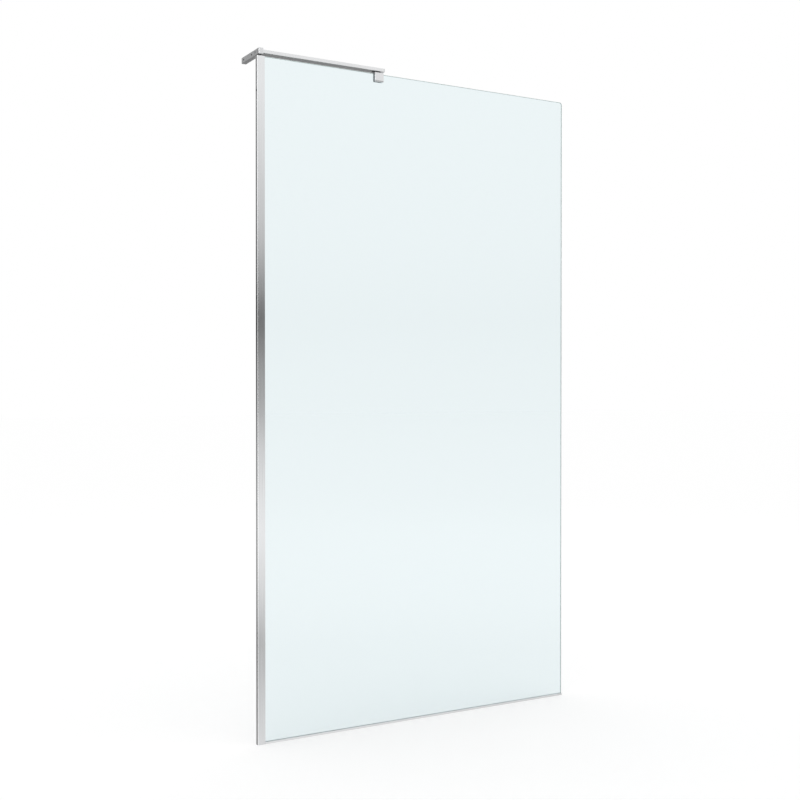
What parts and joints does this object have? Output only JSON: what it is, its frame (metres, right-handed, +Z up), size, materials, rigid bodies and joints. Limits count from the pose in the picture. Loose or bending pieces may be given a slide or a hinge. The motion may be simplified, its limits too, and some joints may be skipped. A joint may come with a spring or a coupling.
{
  "type": "shower screen",
  "caption": "Fixed walk-in shower screen: clear glass sheet in a slim wall profile and floor strip, held at the top by an L-shaped brace from the wall with a glass clamp.",
  "frame": {"origin": "the corner where the wall, the floor and the centre plane of the glass meet, at the foot of the wall profile's back", "axes": "+X along the glass away from the wall, +Y to the shower side of the glass, -Y to the room side, +Z up"},
  "size_m": [1.11, 0.1292, 2.0194],
  "materials": {
    "profile_finish": "bright polished aluminium",
    "brace_finish": "brushed, bright anodised aluminium",
    "clamp_chrome": "polished chrome plate",
    "cap_plastic": "metallised grey plastic",
    "gasket_rubber": "translucent grey PVC seal",
    "liner_rubber": "black EPDM",
    "cap_black": "black moulded plastic",
    "block_plastic": "white polypropylene",
    "fastener_steel": "stainless steel",
    "clear_glass": "clear toughened glass, polished edges"
  },
  "bodies": {
    "wall_side": {"wall_profile": "profile_finish", "wall_profile_cap": "cap_black", "wall_gasket_room_side": "gasket_rubber", "wall_gasket_wedge": "gasket_rubber", "floor_profile": "profile_finish", "floor_profile_end_cap": "cap_plastic", "floor_gasket_room_side": "gasket_rubber", "floor_gasket_shower_side": "gasket_rubber", "glass_setting_blocks": "block_plastic", "brace_wall_leg": "brace_finish", "brace_screw_covers": "cap_plastic", "brace_bar": "brace_finish", "brace_bar_end_cap": "cap_plastic", "brace_corner_screws": "fastener_steel"},
    "panel": {"glass_panel": "clear_glass", "clamp_body": "clamp_chrome", "clamp_liner_front": "liner_rubber", "clamp_liner_rear": "liner_rubber", "clamp_pressure_plate": "clamp_chrome", "clamp_grub_screws": "fastener_steel", "clamp_collar": "cap_black", "clamp_bolt": "fastener_steel", "clamp_nut_plate": "fastener_steel"}
  },
  "joints": [
    {"name": "width_adjustment", "type": "slide", "parent": "wall_side", "child": "panel", "axis": [-1, 0, 0], "range_m": [0, 0.008]}
  ]
}
